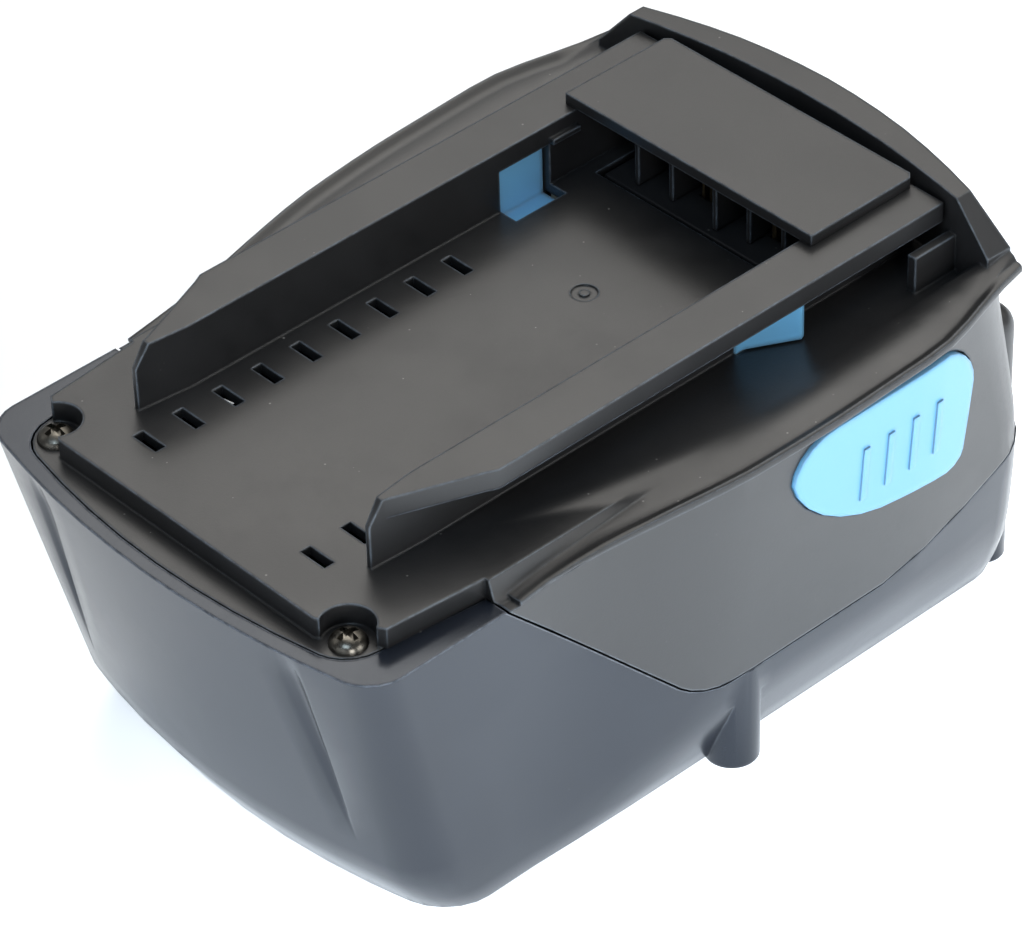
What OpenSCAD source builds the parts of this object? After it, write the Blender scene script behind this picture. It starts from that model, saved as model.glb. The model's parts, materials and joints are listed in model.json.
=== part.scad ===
// Slide-on battery pack of a cordless power tool.
// A lower housing and an upper housing are screwed together round twelve cells. The upper
// housing carries two rails for the tool, the terminal bay and two sprung side latches.
// The origin is the middle of the underside. +Z is up, -Y is the front, the end with two
// screws in the rim, and +Y is the back, where the rails end.

/* [Body] */
// Length from the front rim to the back of the rear screw towers
body_l = 135.4; // [134.8:0.2:142]
// Width of the straight front half at the rim
front_w = 81.6; // [81:0.2:84]
// Width of the straight front half at the underside
base_w = 75.8; // [75.4:0.2:78]
// How far each side swells out behind the front half, at the rim
swell = 4.7; // [4.6:0.1:6]
// How far each side swells out at the underside, before the bevel
swell_low = 3.9; // [3.4:0.1:5]
// Height of the deck above the underside
deck_z = 56.6; // [56.2:0.2:60]
// Drop from the deck to the front rim
rim_drop = 3.4; // [3:0.1:3.8]
// Thickness of the moulded walls
wall = 2.2; // [1.8:0.1:2.4]
// Thickness of the deck and of the shoulders
roof_t = 1.7; // [1.4:0.1:1.8]

/* [Front face] */
// How far the front face leans back from the rim to the lower strip
front_lean = 9.4; // [7:0.2:9.8]
// Height of the raked strip below the front face
strip_h = 9; // [7:0.5:11]
// How far the raked strip leans back
strip_lean = 5.3; // [4:0.1:5.6]
// Radius of the front face seen from above
front_r = 159; // [130:1:200]
// Radius of the front corners at the rim
corner_r = 5; // [4:0.2:7]
// Radius of the front corners at the underside
corner_r_low = 6.8; // [5:0.2:8]
// Depth of the scoop beside each front corner
scoop_d = 0.9; // [0.4:0.1:1.2]

/* [Rear face] */
// How far the rear wall lies in front of the back of the screw towers
rear_in = 0.1; // [0:0.1:0.6]
// How far the top of the rear wall leans forward
rear_bow = 3.4; // [2:0.1:3.6]
// Radius of the rear corners low down
rear_corner_r = 8; // [7:0.2:10]
// Radius of the rear corners at the top
rear_corner_top_r = 13.6; // [12:0.2:15]

/* [Parting line] */
// Distance from the front rim to the place where the parting line leaves the rim
part_from = 29; // [28:0.2:31]
// Height of the low stretch of the parting line
part_low_z = 17.8; // [16:0.2:19]
// Distance from the front rim to the foot of its slope
part_to = 63.5; // [61:0.5:67]
// Rise of the parting line round the back
part_rise = 9.6; // [8:0.1:10]
// Width of the open seam between the housings
seam = 0.25; // [0.1:0.05:0.4]

/* [Shoulders] */
// Distance from the front rim to the notch where the shoulders start
notch_from = 31.4; // [31:0.2:33]
// Depth of the shoulder below the deck at the notch
shoulder_drop = 3.1; // [2.6:0.1:3.4]
// Rise of the shoulder from the notch to the beak
shoulder_rise = 5.8; // [5:0.1:6.4]
// Half width of the flat deck between the shoulders
deck_half_w = 37.3; // [36.8:0.1:37.6]
// Height of the bead along each shoulder
bead_h = 0.7; // [0.4:0.1:1]
// Distance from the outer edge to the groove inside the bead
groove_in = 2.3; // [1.8:0.1:2.6]
// How far the bead stands out over the skirt at the middle of the latch
lip = 1.4; // [0.8:0.1:1.6]

/* [Rails] */
// Height of the rails above the deck
rail_h = 10.5; // [10:0.1:12]
// Thickness of the flange on top of each rail
flange_t = 3.3; // [2.6:0.1:3.6]
// Half of the clear width between the rails
rail_inner_x = 22.8; // [22.4:0.1:23]
// Thickness of the upright web of each rail
web_t = 2.3; // [1.8:0.1:2.3]
// Distance from the middle to the outer edge of a flange
flange_x = 30.8; // [30.2:0.1:31.4]
// Distance from the front rim to the tips of the rails
rail_from = 19.5; // [18:0.2:22]
// Distance from the tips of the rails to their full width
rail_flare = 17; // [14:0.5:20]
// Distance from the back of the screw towers to the ends of the rails
rail_back = 12.2; // [12:0.1:13]

/* [Deck] */
// Number of vent slots on each side
slot_count = 9; // [7:1:9]
// Distance from one vent slot to the next
slot_pitch = 7.2; // [6.6:0.1:7.2]
// Length of a vent slot
slot_l = 4.9; // [4:0.1:5.4]
// Width of a vent slot
slot_w = 1.75; // [1.2:0.05:2.2]
// Diameter of the moulding gate mark
gate_d = 4; // [3:0.2:5]

/* [Back wall and bridge] */
// Height of the back wall above the deck
back_wall_h = 13; // [12.6:0.1:14]
// Thickness of the bridge plate over the terminals
bridge_t = 1.85; // [1.5:0.05:2]
// Half width of the bridge plate
bridge_half_w = 25; // [24.4:0.1:26]
// Depth of the bridge plate from its front edge to its back edge
bridge_l = 20.8; // [19:0.2:20.8]

/* [Latches] */
// Travel of a latch when its pad is pressed
latch_travel = 4; // [3.6:0.1:4]
// Thickness of the sliding plate
latch_t = 1.8; // [1.4:0.1:1.8]
// Distance from the front rim to the front edge of the sliding plate
latch_from = 87.3; // [87.1:0.1:87.5]
// Width of the sliding plate
latch_w = 9.3; // [9:0.1:9.3]
// Length of the pad
pad_l = 37.4; // [35:0.2:38]
// Height of the pad
pad_h = 23.1; // [21:0.2:24]
// How far the pad stands out of the skirt
pad_proud = 0.5; // [0.3:0.1:1]
// Number of grip ribs on the pad
grip_count = 4; // [3:1:5]
// Outer diameter of the latch spring
spring_d = 5; // [4.6:0.1:5]
// Diameter of the spring wire
wire_d = 0.5; // [0.4:0.05:0.6]
// Number of curls of the latch spring
curl_count = 6; // [5:1:7]

/* [Cells] */
// Diameter of a cell
cell_d = 18.3; // [18:0.1:18.4]
// Length of a cell
cell_l = 65; // [64:0.2:65.2]
// Distance from one cell to the next
cell_pitch = 18.7; // [18.65:0.05:18.75]
// Rim of the cell holders round the outer cells
holder_rim = 0.8; // [0.7:0.05:0.85]
// Length of a cell that each holder takes in
holder_grip = 14; // [10:0.5:18]
// Thickness of the welded straps
strap_t = 0.2; // [0.15:0.05:0.3]

/* [Electronics] */
// Length of the control board
board_l = 101; // [96:0.5:102]
// Width of the control board
board_w = 38; // [34:0.5:38]
// Thickness of the control board
board_t = 1.6; // [1:0.1:1.6]
// Width of the terminal block
block_w = 39; // [38:0.2:39.4]

/* [Fasteners] */
// Diameter of the screw heads
head_d = 5.5; // [5:0.1:5.6]
// Height of the screw heads
head_h = 1.9; // [1.6:0.1:2.2]
// Diameter of the housing screws
screw_d = 2.8; // [2.6:0.1:2.9]
// Diameter of the side screw towers
side_tower_d = 8.2; // [7.6:0.1:8.2]
// Diameter of the rear screw towers
rear_tower_d = 7.5; // [7:0.1:7.5]

/* [Fits] */
// Clearance round pieces that slide
slide_gap = 0.3; // [0.25:0.05:0.35]
// Clearance under pieces that rest on each other
seat_gap = 0.2; // [0.1:0.05:0.3]
// Clearance between a cell and its bore
cell_gap = 0.1; // [0.05:0.05:0.1]

/* [Hidden] */
$fn = 48;

// Overrun of every cut past the face that it opens
over = 1;
// Slightest thickness that still joins two solids
sink = 0.05;

// Main places
front_y = -body_l / 2;
back_y = body_l / 2;
notch_y = front_y + notch_from;
rim_z = deck_z - rim_drop;
land_z = rim_z - wall;
floor_z = wall;
rail_front_y = front_y + rail_from;
rail_back_y = back_y - rail_back;
rail_top_z = deck_z + rail_h;
flange_z = rail_top_z - flange_t;

// Side swell: where it starts, is full, starts to draw in again and ends, from the front rim
swell_from = 34.8;
swell_to = 72.2;
draw_from = 103.7;
draw_to = 135.4;
// Share of the swell that is drawn in at the rear, at the underside and at the rim
draw_low_share = 0.35;
draw_share = 0.85;
// Radius of the front face at the underside
front_r_low = 117;
// Bevel along the underside
bevel_slope_share = 0.39;
bevel_blend = 1;
// Rounding of the bottom edge
foot_r = 1.2;

// Scoop beside each front corner: low tip, top and the steep outer edge
scoop_low_z = 15;
scoop_top_z = 47;
scoop_tip_x = 28.3;
scoop_top_x = 23.4;
scoop_edge_x = 28.6;
scoop_rise_share = 0.6;
scoop_flank_share = 0.55;

// Rear wall
rear_wall_y = back_y - rear_in;
rear_bow_z = 26;
rear_bow_low = 1.8;
rear_bow_power = 1.3;
rear_face_r = 600;

// Tail of the shoulders and the underside of the rear lip
beak_in = 8;
beak_y = back_y - beak_in;
shoulder_power = 0.7;
shoulder_end_z = deck_z - shoulder_drop + shoulder_rise;
crest_step = 0.9;
crest_x = deck_half_w + crest_step;
// Width of the ramp from the deck up to the shoulder, as a share of its height
ramp_share = 1.1;
bead_fade = 30;
bead_least_share = 0.15;
groove_most_share = 0.6;
// Where the bead starts to stand out over the skirt, is full, starts to draw in again and ends
lip_least = 0.15;
lip_from = 58;
lip_full = 88;
lip_fade_in = 30;
lip_end_in = 11;
// Drop of the plain roof under the shoulder strips, so that the strips stay on top
strip_sink = 0.6;

// Shares of a rounded corner drawn as part of a circle
corner_share = sqrt(0.5);
// Shares along half of the front face, up to the scoop
front_shares = [0, 0.3, 0.6, 0.85];
scoop_shares = [0, 0.2, 0.4, 0.6, 0.75, 0.88, 1];
rear_shares = [0.66, 0.33, 0];

// A value a share of the way from a to b
function mix(a, b, share) = a + (b - a) * share;
// A share limited to the range from 0 to 1
function limit(share) = max(0, min(1, share));
// A smooth step that is 0 at a and 1 at b
function ease(a, b, v) = let (t = limit((v - a) / (b - a))) t * t * (3 - 2 * t);
// The smaller of two lengths, rounded where they meet
function soft_min(a, b, r) = (a + b - sqrt((a - b) * (a - b) + r * r)) / 2;
// Points of a rounded corner from a to b with its tip at c, without a itself
function corner(a, c, b, n) = [
    for (i = [1:n])
        let (t = i / n, u = 1 - t, w = 2 * corner_share * t * u)
        (u * u * a + w * c + t * t * b) / (u * u + w + t * t)
];
// A closed outline from its right half, which starts and ends on the middle line
function both_halves(half) = concat(half, [for (i = [len(half) - 2:-1:1]) [-half[i].x, half[i].y]]);
function at_height(outline, z) = [for (p = outline) [p.x, p.y, z]];
function at_place(section, y) = [for (p = section) [p.x, y, p.y]];
function cell_name(i) = str("cell_", i < 10 ? "0" : "", i);

// Half width of the outer skin at a place and a height
function side_x(y, z) =
    let (
        drawn = ease(front_y + draw_from, front_y + draw_to, y),
        swelling = ease(front_y + swell_from, front_y + swell_to, y)
            * (1 - mix(draw_low_share, draw_share, z / rim_z) * drawn),
        plain = mix(base_w, front_w, z / rim_z) / 2 + mix(swell_low, swell, z / rim_z) * swelling,
        bevel = base_w / 2 + bevel_slope_share * z
    )
    soft_min(plain, bevel, bevel_blend);

// Middle of the front face at a height
function front_line(z) =
    z > strip_h
        ? front_y + front_lean * (rim_z - z) / (rim_z - strip_h)
        : front_y + front_lean + strip_lean * (strip_h - z) / strip_h;

// Middle of the rear face at a height
function rear_line(z) =
    z > rear_bow_z
        ? rear_wall_y - rear_bow * pow((z - rear_bow_z) / (rim_z - rear_bow_z), rear_bow_power)
        : rear_wall_y - rear_bow_low * pow((rear_bow_z - z) / rear_bow_z, 2);

// Left edge of the scoop at a height
function scoop_x(z) = mix(scoop_tip_x, scoop_top_x, limit((z - scoop_low_z) / (scoop_top_z - scoop_low_z)));
// Depth of the scoop, from a share across it and a height
function scoop_depth(across, z) =
    let (
        up = (z - scoop_low_z) / (scoop_top_z - scoop_low_z),
        flank = across < scoop_flank_share ? 0 : 1
    )
    scoop_d * ease(0, scoop_rise_share, up) * ease(rim_z, scoop_top_z, z)
        * ease(flank, scoop_flank_share, across);

// Right half of the rear of the outline, from where the side ends
function rear_half(z, inset) =
    let (
        r = mix(rear_corner_r, rear_corner_top_r, limit((z - rear_bow_z) / (rim_z - rear_bow_z))) - inset,
        line = rear_line(z) - inset,
        end_x = side_x(line - r / 2, z) - inset - r,
        end_y = line - end_x * end_x / 2 / rear_face_r,
        tip_y = end_y - r * end_x / rear_face_r,
        from_y = tip_y - r
    )
    concat(
        [[side_x(from_y, z) - inset, from_y]],
        corner(
            [side_x(from_y, z) - inset, from_y],
            [side_x(tip_y, z) - inset, tip_y],
            [end_x, end_y],
            6
        ),
        [for (s = rear_shares) [end_x * s, line - pow(end_x * s, 2) / 2 / rear_face_r]]
    );

// Right half of the front of the outline, up to the start of the side
function front_half(z, inset) =
    let (
        r = mix(corner_r_low, corner_r, z / rim_z) - inset / 2,
        face_r = mix(front_r_low, front_r, z / rim_z),
        line = front_line(z) + inset,
        x1 = side_x(line + r, z) - inset - r,
        y1 = line + x1 * x1 / 2 / face_r,
        tip_y = y1 + r * x1 / face_r,
        scoop = inset > 0 ? 0 : 1
    )
    concat(
        [for (s = front_shares) let (x = s * scoop_x(z)) [x, line + x * x / 2 / face_r]],
        [
            for (s = scoop_shares)
                let (x = mix(scoop_x(z), scoop_edge_x, s))
                [x, line + x * x / 2 / face_r + scoop * scoop_depth(s, z)]
        ],
        [[x1, y1]],
        corner([x1, y1], [x1 + r, tip_y], [side_x(tip_y + r, z) - inset, tip_y + r], 5)
    );

// Whole outline at a height; the inset moves it inwards
function body_outline(z, inset, side_count) =
    let (
        front = front_half(z, inset),
        rear = rear_half(z, inset),
        from = front[len(front) - 1].y,
        to = rear[0].y
    )
    both_halves(concat(
        front,
        [for (i = [1:side_count - 1]) let (y = mix(from, to, i / side_count)) [side_x(y, z) - inset, y]],
        rear
    ));

// Outline of the part behind a straight front edge
function tail_outline(z, inset, from, side_count) =
    let (rear = rear_half(z, inset), to = rear[0].y)
    both_halves(concat(
        [[0, from]],
        [for (i = [0:side_count - 1]) let (y = mix(from, to, i / side_count)) [side_x(y, z) - inset, y]],
        rear
    ));

// Solid through a stack of outlines with equal numbers of points
module loft(rings) {
    n = len(rings[0]);
    m = len(rings);
    polyhedron(
        points = [for (r = rings) each r],
        faces = concat(
            [[for (i = [0:n - 1]) i]],
            [
                for (k = [0:m - 2], i = [0:n - 1], s = [0, 1])
                    let (a = k * n + i, b = k * n + (i + 1) % n)
                    s == 0 ? [a, b + n, b] : [a, a + n, b + n]
            ],
            [[for (i = [n - 1:-1:0]) (m - 1) * n + i]]
        )
    );
}

// Height of the shoulder at a place along the body
function shoulder_z(y) =
    deck_z - shoulder_drop
        + shoulder_rise * pow(limit((y - notch_y) / (beak_y - notch_y)), shoulder_power);
// Rise of the tail of the shoulder towards the foot of the back wall
tail_rise = 2.4;
tail_l = 9;
function tail_up(y) = tail_rise * ease(beak_y - tail_l, beak_y, y);
// Outer edge of the shoulder
function lip_x(y) =
    let (
        grown = ease(front_y + lip_from, front_y + lip_full, y),
        left = ease(back_y - lip_end_in, back_y - lip_fade_in, y)
    )
    side_x(y, shoulder_z(y)) + lip_least + (lip - lip_least) * grown * left;

// Half width of the flat deck, which draws in where the shoulder stands above it
function deck_edge_x(y) = deck_half_w - ramp_share * max(0, shoulder_z(y) - deck_z);

// Cross-section under the roof line; shift moves the step sideways and drop lowers it
function roof_section(y, drop, raised) =
    let (
        s = shoulder_z(y),
        side = limit((s - deck_z) / roof_t / 2 + 1 / 2) * 2 - 1,
        shift = drop > 0 ? side * roof_t : 0,
        sunk = drop > 0 ? drop : strip_sink,
        crest_z = drop > 0 ? s - drop : s + tail_up(y),
        reach = front_w,
        top = raised ? shoulder_end_z - strip_sink : deck_z - drop
    )
    [
        [-reach, 0],
        [-reach, s - sunk],
        [-crest_x - shift - strip_sink, s - sunk],
        [-crest_x - shift, raised ? top : crest_z],
        [-deck_edge_x(y) - shift, top],
        [deck_edge_x(y) + shift, top],
        [crest_x + shift, raised ? top : crest_z],
        [crest_x + shift + strip_sink, s - sunk],
        [reach, s - sunk],
        [reach, 0]
    ];

// Places of the cross-sections along a shoulder
shoulder_count = 20;
shoulder_places = [for (i = [0:shoulder_count]) mix(notch_y, beak_y, i / shoulder_count)];

// Everything under the roof line
module under_roof(drop) {
    places = concat([front_y + part_from], shoulder_places);
    tail = [beak_y + sink, back_y + over];
    loft(concat(
        [for (y = places) at_place(roof_section(y, drop, false), y)],
        [for (y = tail) at_place(roof_section(y, drop, drop == 0), y)]
    ));
}

// Skins and shells

side_steps = 11;
// Heights of the rings of the outer skin, as shares of the rim height
skin_shares = [0.23, 0.28, 0.38, 0.49, 0.6, 0.71, 0.8, 0.885, 0.94, 1];
hollow_shares = [0.28, 0.5, 0.72, 0.93];
skirt_shares = [0.3, 0.45, 0.6, 0.73, 0.85, 0.95, 1.05, 1.16];

module outer_body() {
    loft(concat(
        [
            for (a = [0:45:90])
                let (z = foot_r * (1 - cos(a)))
                at_height(body_outline(z, foot_r * (1 - sin(a)), side_steps), z)
        ],
        [for (z = [strip_h / 2, strip_h]) at_height(body_outline(z, 0, side_steps), z)],
        [for (s = skin_shares) at_height(body_outline(s * rim_z, 0, side_steps), s * rim_z)]
    ));
}

module tub_hollow() {
    loft(concat(
        [
            at_height(body_outline(floor_z, wall + foot_r, side_steps), floor_z),
            at_height(body_outline(floor_z + foot_r, wall, side_steps), floor_z + foot_r),
            at_height(body_outline(strip_h, wall, side_steps), strip_h)
        ],
        [for (s = hollow_shares) at_height(body_outline(s * rim_z, wall, side_steps), s * rim_z)],
        [at_height(body_outline(land_z, wall, side_steps), land_z)]
    ));
}

module skirt_body(inset) {
    from = front_y + part_from + inset;
    loft([
        for (s = skirt_shares)
            at_height(tail_outline(s * rim_z, inset, from, side_steps), s * rim_z)
    ]);
}

// Half outline of the joint between the lid and the land inside the rim
lid_in = 2.5;
lid_side_x = 34.5;
lid_corner_r = 5;
lid_r = 140;
deck_side_x = 36.8;
function lid_half(gap, back) =
    let (
        line = front_y + lid_in - gap,
        side = lid_side_x + gap,
        x1 = side - lid_corner_r,
        y1 = line + x1 * x1 / 2 / lid_r,
        tip_y = y1 + lid_corner_r * x1 / lid_r
    )
    concat(
        [for (s = [0, 0.25, 0.5, 0.75, 1]) [x1 * s, line + pow(x1 * s, 2) / 2 / lid_r]],
        corner([x1, y1], [side, tip_y], [side, tip_y + lid_corner_r], 5),
        [[deck_side_x + gap, notch_y], [deck_side_x + gap, back], [0, back]]
    );

// Half outline of the deck in front of the notch
deck_in = 7.4;
deck_corner_x = 26.6;
deck_corner_in = 12.8;
deck_corner_side_x = 35.1;
function deck_half(inset, back) = [
    [0, front_y + deck_in + inset],
    [deck_corner_x - inset / 2, front_y + deck_in + inset],
    [deck_corner_side_x - inset, front_y + deck_corner_in + inset / 2],
    [deck_side_x - inset, notch_y],
    [deck_side_x - inset, back],
    [0, back]
];

// Parting line seen from the side, from the rim to the back
part_round = 5.5;
part_rise_from = 99.7;
part_rise_power = 1.2;
function parting_line(shift) =
    let (
        tip = [front_y + part_to, part_low_z],
        top = [front_y + part_from, rim_z],
        up = (top - tip) / norm(top - tip),
        a = tip + up * part_round,
        b = tip + [part_round, 0],
        rise_y = front_y + part_rise_from,
        rising = [
            for (s = [0:0.25:1])
                [mix(rise_y, rear_wall_y, s), part_low_z + part_rise * pow(s, part_rise_power)]
        ]
    )
    [
        for (p = concat(
            [top, a],
            corner(a, tip, b, 4),
            rising,
            [[back_y + over, part_low_z + part_rise]]
        ))
            p + [shift * corner_share, shift]
    ];

// Extrudes a side view across the whole width
module across(width) {
    rotate([90, 0, 90]) linear_extrude(width, center = true) children();
}

module above_parting(shift) {
    line = parting_line(shift);
    across(2 * front_w) polygon(concat(
        [[line[0].x, 2 * deck_z]],
        line,
        [[back_y + 2 * over, line[len(line) - 1].y], [back_y + 2 * over, 2 * deck_z]]
    ));
}

module below_parting(shift) {
    line = parting_line(shift);
    across(2 * front_w) polygon(concat(
        [[front_y, -over], [front_y, rim_z]],
        line,
        [[back_y + 2 * over, line[len(line) - 1].y], [back_y + 2 * over, -over]]
    ));
}

module both_sides() {
    children();
    mirror([1, 0, 0]) children();
}

// Places that several pieces share

front_screw_x = 30.6;
front_screw_in = 9.9;
front_screw_y = front_y + front_screw_in;
front_screw_l = 12;
side_tower_x = 38.8;
side_tower_in = 73.05;
side_tower_y = front_y + side_tower_in;
side_tower_h = part_low_z - slide_gap;
rear_tower_x = 32.7;
rear_tower_y = back_y - rear_tower_d / 2;
rear_tower_h = 45.5;
rear_seam_z = part_low_z + part_rise;
low_seat_z = 5;
side_screw_l = 21;
rear_screw_l = 29;
column_d = 6;

// Under the deck
deck_under_z = deck_z - roof_t;
latch_z = deck_under_z - slide_gap - latch_t;
latch_y = front_y + latch_from;
latch_inner_x = 19.8;

// Windows of the latches
window_y = latch_y - slide_gap;
window_w = latch_w + 2 * slide_gap;
window_h = 7;
wedge_h = window_h - 2 * slide_gap;
riser_x = rail_inner_x + 1.25;
riser_t = 1.15;
wedge_x = flange_x - 1.1;

// Terminal bay
bay_in = 31.8;
bay_back_in = 13.2;
bay_y = back_y - bay_in;
bay_back_y = back_y - bay_back_in;
bay_half_w = block_w / 2 + 2 * slide_gap;
bridge_y = rail_back_y - bridge_l;

// Outline of a pad seen from the side, grown by a clearance
pad_in = 78.4;
pad_drop = 24.1;
pad_y = front_y + pad_in;
pad_z = deck_z - pad_drop;
pad_t = 3.5;
pad_rim = 1;
pad_shares = concat(
    [[0.2, 1]],
    corner([0.2, 1], [0, 1], [0, 0.72], 5),
    corner([0, 0.72], [0.1, 0.13], [0.6, 0.06], 7),
    [[0.87, 0]],
    corner([0.87, 0], [0.965, 0], [0.968, 0.1], 3),
    [[1, 0.62]],
    corner([1, 0.62], [1, 0.9], [0.82, 1], 5)
);
module pad_prism(grow) {
    translate([front_w / 2, 0, 0]) across(2 * pad_t + swell + side_tower_d) polygon([
        for (p = pad_shares)
            [
                pad_y + pad_l / 2 + (p.x - 1 / 2) * (pad_l + 2 * grow),
                pad_z + pad_h / 2 + (p.y - 1 / 2) * (pad_h + 2 * grow)
            ]
    ]);
}

// Slab that follows the skirt, from one offset to another
module skin_slab(out, into, from, to, low, high, steps) {
    loft([
        for (i = [0:steps])
            let (y = mix(from, to, i / steps))
            at_place([
                [side_x(y, low) + into, low],
                [side_x(y, high) + into, high],
                [side_x(y, high) + out, high],
                [side_x(y, low) + out, low]
            ], y)
    ]);
}

// Pan head screw, its seat at the origin and its shank down
module pan_screw(head, height, shank, length) {
    recess_w = head / 6;
    recess_d = height / 2;
    recess_l = head * 0.6;
    difference() {
        union() {
            rotate_extrude() polygon(concat(
                [[0, 0], [head / 2, 0]],
                corner([head / 2, 0], [head / 2, height], [0, height], 8)
            ));
            translate([0, 0, -length]) cylinder(d = shank, h = length + sink);
        }
        for (a = [0, 90])
            rotate(a)
                translate([-recess_l / 2, -recess_w / 2, height - recess_d])
                    cube([recess_l, recess_w, recess_d + over]);
    }
}

module lower_housing() {
    post_d = 6.4;
    post_z = 38;
    gusset_t = 2.4;
    gusset_l = 4.4;
    gusset_z = 45;
    color("#1d2026")
    difference() {
        union() {
            difference() {
                outer_body();
                tub_hollow();
                translate([0, 0, land_z - sink])
                    linear_extrude(wall + over) polygon(both_halves(lid_half(seam, notch_y + swell)));
            }
            both_sides() {
                translate([front_screw_x, front_screw_y, post_z])
                    cylinder(d = post_d, h = land_z - seat_gap - post_z);
                translate([front_screw_x - gusset_t / 2, front_screw_y - gusset_l, gusset_z])
                    cube([gusset_t, gusset_l, land_z - seat_gap - gusset_z]);
                translate([side_tower_x, side_tower_y, 0]) cylinder(d = side_tower_d, h = side_tower_h);
                translate([rear_tower_x, rear_tower_y, 0]) cylinder(d = rear_tower_d, h = rear_seam_z);
            }
        }
        above_parting(-seam / 2);
        both_sides() {
            translate([front_screw_x, front_screw_y, post_z - over])
                cylinder(d = screw_d + cell_gap, h = land_z);
            for (p = [[side_tower_x, side_tower_y], [rear_tower_x, rear_tower_y]])
                translate([p.x, p.y, -over]) {
                    cylinder(d = head_d + 2 * slide_gap, h = low_seat_z + over);
                    cylinder(d = screw_d + slide_gap, h = rear_seam_z + over);
                }
        }
    }
}

// One rail, on the right
module rail() {
    tip_t = 0.8;
    tip_in = 1;
    lead_l = 9;
    bevel = 2.4;
    bevel_h = 3.5;
    rise = rail_top_z - deck_z;
    rib_l = 5.4;
    rib_t = 0.9;
    intersection() {
        union() {
            translate([0, 0, deck_under_z])
                linear_extrude(rail_top_z - deck_under_z) polygon([
                    [rail_inner_x + tip_in, rail_front_y],
                    [rail_inner_x + tip_in + tip_t, rail_front_y],
                    [rail_inner_x + web_t, rail_front_y + lead_l],
                    [rail_inner_x + web_t, rail_back_y],
                    [rail_inner_x, rail_back_y],
                    [rail_inner_x, rail_front_y + lead_l]
                ]);
            translate([0, 0, flange_z])
                linear_extrude(flange_t) polygon([
                    [rail_inner_x + tip_in, rail_front_y + bevel],
                    [rail_inner_x + tip_in + tip_t, rail_front_y + bevel],
                    [flange_x - tip_t, rail_front_y + rail_flare - tip_t],
                    [flange_x, rail_front_y + rail_flare + tip_t],
                    [flange_x, rail_back_y],
                    [rail_inner_x, rail_back_y],
                    [rail_inner_x, rail_front_y + lead_l]
                ]);
            translate([rail_inner_x - rib_t, bridge_y - rib_l, flange_z])
                cube([rib_t + sink, rib_l, rib_t]);
        }
        across(2 * front_w) polygon([
            [rail_front_y, deck_under_z],
            [rail_front_y, rail_top_z - bevel_h],
            [rail_front_y + bevel, rail_top_z],
            [rail_back_y, rail_top_z],
            [rail_back_y, deck_under_z]
        ]);
    }
}

// Shoulder on the right: a strip with a groove and a bead along its outer edge
function shoulder_section(y) =
    let (
        s = shoulder_z(y),
        w = lip_x(y),
        g = min(groove_in, groove_most_share * (w - crest_x)),
        h = bead_h * mix(bead_least_share, 1, ease(notch_y, notch_y + bead_fade, y)),
        up = tail_up(y)
    )
    [
        [crest_x, s - roof_t],
        [crest_x, s + up],
        [w - 1.45 * g, s + up],
        [w - g, s - h / 3 + 0.85 * up],
        [w - 0.72 * g, s + 0.6 * up],
        [w - 0.48 * g, s + 0.68 * h + 0.12 * up],
        [w - 0.25 * g, s + h],
        [w - 0.06 * g, s + 0.7 * h],
        [w, s + 0.15 * h],
        [w, s - 0.2 * g],
        [w - 0.4 * g, s - 0.55 * g],
        [w - 1.2 * g, s - roof_t]
    ];
module shoulder() {
    loft([for (y = shoulder_places) at_place(shoulder_section(y), y)]);
}

// Wall across the back end, an arc with sloping ends
wall_inner_in = 9.2;
wall_outer_in = 4.1;
wall_inner_r = 186;
wall_outer_r = 106;
wall_kink_x = 33.2;
wall_foot_x = 39.8;
wall_foot_in = 12.4;
module back_wall() {
    crown = 0.6;
    foot_h = 4.8;
    lip_z = shoulder_end_z - strip_sink;
    steps = [for (i = [0:6]) i / 6];
    inner = [
        for (s = steps) [s * wall_kink_x, back_y - wall_inner_in - pow(s * wall_kink_x, 2) / 2 / wall_inner_r]
    ];
    outer = [
        for (s = steps) [s * wall_kink_x, back_y - wall_outer_in - pow(s * wall_kink_x, 2) / 2 / wall_outer_r]
    ];
    top = deck_z + back_wall_h;
    function plan(front, back) = both_halves(concat(front, [for (i = [len(back) - 1:-1:0]) back[i]]));
    intersection() {
        translate([0, 0, lip_z]) linear_extrude(top - lip_z + over) polygon(plan(
            concat(inner, [[wall_foot_x - rear_in, back_y - wall_foot_in]]),
            concat(outer, [[wall_foot_x, beak_y + seam]])
        ));
        across_back([
            [wall_foot_x + over, lip_z - over],
            [wall_foot_x + over, deck_z + foot_h - over],
            [wall_kink_x, top - crown],
            [wall_kink_x / 2, top - crown / 4],
            [0, top]
        ]);
    }
    translate([0, 0, deck_under_z]) linear_extrude(lip_z - deck_under_z + sink) polygon(plan(
        concat(inner, [[wall_foot_x - rear_in, back_y - wall_foot_in]]),
        concat([for (p = inner) p + [0, wall]], [[wall_foot_x - rear_in, back_y - wall_foot_in + wall]])
    ));
}

// Extrudes a right half seen from the front along the whole body
module across_back(half) {
    rotate([90, 0, 0])
        linear_extrude(2 * body_l, center = true)
            polygon(concat(half, [for (i = [len(half) - 2:-1:0]) [-half[i].x, half[i].y]]));
}

module stop_block() {
    block_x = 31.8;
    block_t = 1.5;
    block_in = 20.4;
    block_h = 6.1;
    translate([block_x, back_y - block_in, deck_under_z])
        cube([block_t, block_in - wall_foot_in + wall, block_h + roof_t]);
}

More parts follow.
